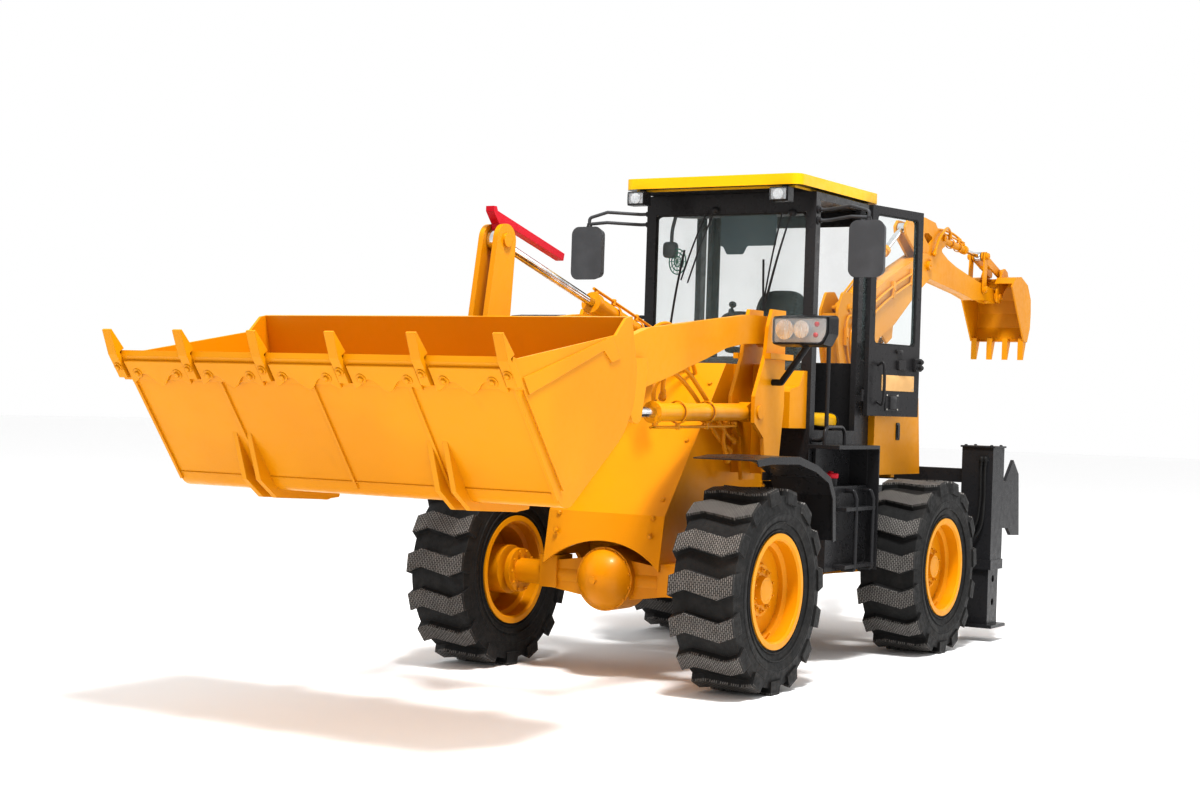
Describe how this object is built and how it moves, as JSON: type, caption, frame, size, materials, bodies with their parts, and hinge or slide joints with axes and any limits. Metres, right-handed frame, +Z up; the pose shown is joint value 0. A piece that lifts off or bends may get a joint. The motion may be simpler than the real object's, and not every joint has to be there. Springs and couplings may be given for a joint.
{
  "type": "articulated backhoe loader",
  "caption": "Articulated yellow backhoe loader with a raised front bucket on Z-bar linkage, a black cab with its door open, and a side-shift digging arm reaching out behind.",
  "frame": {"origin": "middle of the machine's bounding box on the ground that its tyres stand on", "axes": "+Z up, +Y to the machine's rear, +X to its left"},
  "size_m": [2.41, 10.5303, 3.2847],
  "materials": {
    "yellow_paint": "orange-yellow machine enamel, semi-gloss",
    "roof_paint": "lemon-yellow enamel",
    "black_paint": "black satin enamel",
    "red_paint": "dark red enamel",
    "engine_iron": "bare engine castings",
    "chrome_rod": "hard-chromed piston rods",
    "tyre_rubber": "tyre rubber",
    "window_glass": "clear cab glass",
    "lamp_plastic": "black lamp housing with clear lens",
    "mirror_plastic": "black mirror housing",
    "seat_vinyl": "black vinyl",
    "cab_plastic": "dark moulded plastic"
  },
  "bodies": {
    "rear_frame": {"rear_chassis": "black_paint", "rear_axle": "yellow_paint", "engine_block": "engine_iron", "engine_hood": "yellow_paint", "cab_frame": "black_paint", "cab_roof": "roof_paint", "cab_glass": "window_glass", "cowl": "yellow_paint", "seat": "seat_vinyl", "steering_column": "cab_plastic", "side_tanks": "black_paint", "mirrors": "mirror_plastic", "work_lamps": "lamp_plastic", "hoe_frame": "black_paint"},
    "steering_wheel": {"steering_wheel": "cab_plastic"},
    "door": {"door_frame": "black_paint", "door_glass": "window_glass"},
    "front_frame": {"front_chassis": "yellow_paint", "front_axle": "yellow_paint", "front_fenders": "black_paint", "headlamps": "lamp_plastic"},
    "loader_boom": {"loader_boom": "yellow_paint"},
    "rocker": {"rocker": "yellow_paint"},
    "bucket_link": {"bucket_link": "yellow_paint"},
    "loader_bucket": {"loader_bucket": "yellow_paint", "cutting_edge": "yellow_paint"},
    "lift_barrels": {"lift_barrels": "yellow_paint"},
    "lift_rods": {"lift_rods": "chrome_rod"},
    "tilt_barrel": {"tilt_barrel": "yellow_paint"},
    "tilt_rod": {"tilt_rod": "chrome_rod", "level_marker": "red_paint"},
    "stabiliser_left": {"stabiliser_left": "black_paint"},
    "stabiliser_right": {"stabiliser_right": "black_paint"},
    "hoe_carriage": {"hoe_carriage": "yellow_paint"},
    "hoe_kingpost": {"hoe_kingpost": "yellow_paint"},
    "hoe_boom": {"hoe_boom": "yellow_paint"},
    "hoe_dipper": {"hoe_dipper": "yellow_paint"},
    "hoe_bucket": {"hoe_bucket": "yellow_paint"},
    "hoe_guide_link": {"hoe_guide_link": "yellow_paint"},
    "hoe_push_link": {"hoe_push_link": "yellow_paint"},
    "hoe_boom_barrel": {"hoe_boom_barrel": "yellow_paint"},
    "hoe_boom_rod": {"hoe_boom_rod": "chrome_rod"},
    "hoe_dipper_barrel": {"hoe_dipper_barrel": "yellow_paint"},
    "hoe_dipper_rod": {"hoe_dipper_rod": "chrome_rod"},
    "hoe_curl_barrel": {"hoe_curl_barrel": "yellow_paint"},
    "hoe_curl_rod": {"hoe_curl_rod": "chrome_rod"},
    "wheel_front_left": {"rim_front_left": "yellow_paint", "tyre_front_left": "tyre_rubber"},
    "wheel_front_right": {"rim_front_right": "yellow_paint", "tyre_front_right": "tyre_rubber"},
    "wheel_rear_left": {"rim_rear_left": "yellow_paint", "tyre_rear_left": "tyre_rubber"},
    "wheel_rear_right": {"rim_rear_right": "yellow_paint", "tyre_rear_right": "tyre_rubber"}
  },
  "joints": [
    {"name": "articulation", "type": "hinge", "parent": "rear_frame", "child": "front_frame", "pos_m": [0, -0.945, 0.885], "axis": [0, 0, 1], "range_deg": [-35, 35]},
    {"name": "front_left_wheel", "type": "hinge", "parent": "front_frame", "child": "wheel_front_left", "pos_m": [0.9, -2.235, 0.5875], "axis": [1, 0, 0], "continuous": true},
    {"name": "front_right_wheel", "type": "hinge", "parent": "front_frame", "child": "wheel_front_right", "pos_m": [-0.9, -2.235, 0.5875], "axis": [1, 0, 0], "continuous": true},
    {"name": "rear_left_wheel", "type": "hinge", "parent": "rear_frame", "child": "wheel_rear_left", "pos_m": [0.9, 0.345, 0.5875], "axis": [1, 0, 0], "continuous": true},
    {"name": "rear_right_wheel", "type": "hinge", "parent": "rear_frame", "child": "wheel_rear_right", "pos_m": [-0.9, 0.345, 0.5875], "axis": [1, 0, 0], "continuous": true},
    {"name": "steering", "type": "hinge", "parent": "rear_frame", "child": "steering_wheel", "pos_m": [0, -0.545, 2.165], "axis": [0, 0.3461, 0.9382], "range_deg": [-720, 720]},
    {"name": "door", "type": "hinge", "parent": "rear_frame", "child": "door", "pos_m": [0.668, -0.17, 2.3], "axis": [0, 0, 1], "range_deg": [-169.4, 0]},
    {"name": "lift", "type": "hinge", "parent": "front_frame", "child": "loader_boom", "pos_m": [0, -1.535, 2.1], "axis": [-1, 0, 0], "range_deg": [-18, 46]},
    {"name": "bucket_tilt", "type": "hinge", "parent": "loader_boom", "child": "loader_bucket", "pos_m": [0, -4.245, 1.17], "axis": [1, 0, 0], "range_deg": [0, 80]},
    {"name": "rocker", "type": "hinge", "parent": "loader_boom", "child": "rocker", "pos_m": [0, -3.665, 1.79], "axis": [1, 0, 0], "range_deg": [-50.16, 0.5]},
    {"name": "bucket_link", "type": "hinge", "parent": "rocker", "child": "bucket_link", "pos_m": [0, -3.525, 1.311], "axis": [1, 0, 0], "range_deg": [-0.5, 57.14]},
    {"name": "lift_barrels", "type": "hinge", "parent": "front_frame", "child": "lift_barrels", "pos_m": [0, -1.735, 1.605], "axis": [1, 0, 0], "range_deg": [-49.3, 19.59]},
    {"name": "lift_rods", "type": "slide", "parent": "lift_barrels", "child": "lift_rods", "axis": [0, -0.9999, -0.0154], "range_m": [-0.15945, 0.40282]},
    {"name": "tilt_barrel", "type": "hinge", "parent": "front_frame", "child": "tilt_barrel", "pos_m": [0, -1.675, 1.96], "axis": [1, 0, 0], "range_deg": [-47.66, 18.95]},
    {"name": "tilt_rod", "type": "slide", "parent": "tilt_barrel", "child": "tilt_rod", "axis": [0, -0.9632, 0.2687], "range_m": [-0.57115, 0.003]},
    {"name": "stabiliser_left", "type": "slide", "parent": "rear_frame", "child": "stabiliser_left", "axis": [0, 0, -1], "range_m": [-0.04, 0.25]},
    {"name": "stabiliser_right", "type": "slide", "parent": "rear_frame", "child": "stabiliser_right", "axis": [0, 0, -1], "range_m": [-0.04, 0.25]},
    {"name": "side_shift", "type": "slide", "parent": "rear_frame", "child": "hoe_carriage", "axis": [1, 0, 0], "range_m": [-0.25, 0.85]},
    {"name": "slew", "type": "hinge", "parent": "hoe_carriage", "child": "hoe_kingpost", "pos_m": [-0.3, 1.625, 1], "axis": [0, 0, -1], "range_deg": [-80, 80]},
    {"name": "hoe_boom", "type": "hinge", "parent": "hoe_kingpost", "child": "hoe_boom", "pos_m": [-0.3, 1.75, 1.56], "axis": [-1, 0, 0], "range_deg": [-15, 60]},
    {"name": "hoe_dipper", "type": "hinge", "parent": "hoe_boom", "child": "hoe_dipper", "pos_m": [-0.3, 3.145, 2.88], "axis": [-1, 0, 0], "range_deg": [-10, 65]},
    {"name": "hoe_bucket", "type": "hinge", "parent": "hoe_dipper", "child": "hoe_bucket", "pos_m": [-0.3, 4.858, 2.726], "axis": [1, 0, 0], "range_deg": [-62, 30]},
    {"name": "hoe_guide_link", "type": "hinge", "parent": "hoe_dipper", "child": "hoe_guide_link", "pos_m": [-0.3, 4.535, 2.775], "axis": [1, 0, 0], "range_deg": [-47.08, 23.04]},
    {"name": "hoe_push_link", "type": "hinge", "parent": "hoe_guide_link", "child": "hoe_push_link", "pos_m": [-0.3, 4.555, 3.075], "axis": [1, 0, 0], "range_deg": [-14.33, 29.09]},
    {"name": "hoe_boom_barrel", "type": "hinge", "parent": "hoe_kingpost", "child": "hoe_boom_barrel", "pos_m": [-0.3, 1.915, 1.375], "axis": [1, 0, 0], "range_deg": [-62.1, 15.9]},
    {"name": "hoe_boom_rod", "type": "slide", "parent": "hoe_boom_barrel", "child": "hoe_boom_rod", "axis": [0, 0.4886, 0.8725], "range_m": [-0.24323, 0.06306]},
    {"name": "hoe_dipper_barrel", "type": "hinge", "parent": "hoe_boom", "child": "hoe_dipper_barrel", "pos_m": [-0.3, 1.565, 2.43], "axis": [1, 0, 0], "range_deg": [-1.53, 0.66]},
    {"name": "hoe_dipper_rod", "type": "slide", "parent": "hoe_dipper_barrel", "child": "hoe_dipper_rod", "axis": [0, 0.8508, 0.5255], "range_m": [-0.08134, 0.5122]},
    {"name": "hoe_curl_barrel", "type": "hinge", "parent": "hoe_dipper", "child": "hoe_curl_barrel", "pos_m": [-0.3, 3.555, 3.15], "axis": [1, 0, 0], "range_deg": [-1.41, 0.94]},
    {"name": "hoe_curl_rod", "type": "slide", "parent": "hoe_curl_barrel", "child": "hoe_curl_rod", "axis": [0, 0.9972, -0.0748], "range_m": [-0.11404, 0.23247]}
  ],
  "couplings": [
    {"joint": "rocker", "follows": "bucket_tilt", "ratio": -0.62079},
    {"joint": "bucket_link", "follows": "bucket_tilt", "ratio": 0.70799},
    {"joint": "lift_barrels", "follows": "lift", "ratio": -1.0608},
    {"joint": "lift_rods", "follows": "lift", "m_per_rad": 0.498},
    {"joint": "tilt_barrel", "follows": "lift", "ratio": -1.0251},
    {"joint": "tilt_rod", "follows": "bucket_tilt", "m_per_rad": -0.40691},
    {"joint": "hoe_guide_link", "follows": "hoe_bucket", "ratio": 0.75135},
    {"joint": "hoe_push_link", "follows": "hoe_bucket", "ratio": -0.46104},
    {"joint": "hoe_boom_barrel", "follows": "hoe_boom", "ratio": -1.0266},
    {"joint": "hoe_boom_rod", "follows": "hoe_boom", "m_per_rad": -0.2294},
    {"joint": "hoe_dipper_barrel", "follows": "hoe_dipper", "ratio": -0.015856},
    {"joint": "hoe_dipper_rod", "follows": "hoe_dipper", "m_per_rad": 0.44884},
    {"joint": "hoe_curl_barrel", "follows": "hoe_bucket", "ratio": 0.014592},
    {"joint": "hoe_curl_rod", "follows": "hoe_bucket", "m_per_rad": -0.21206}
  ]
}
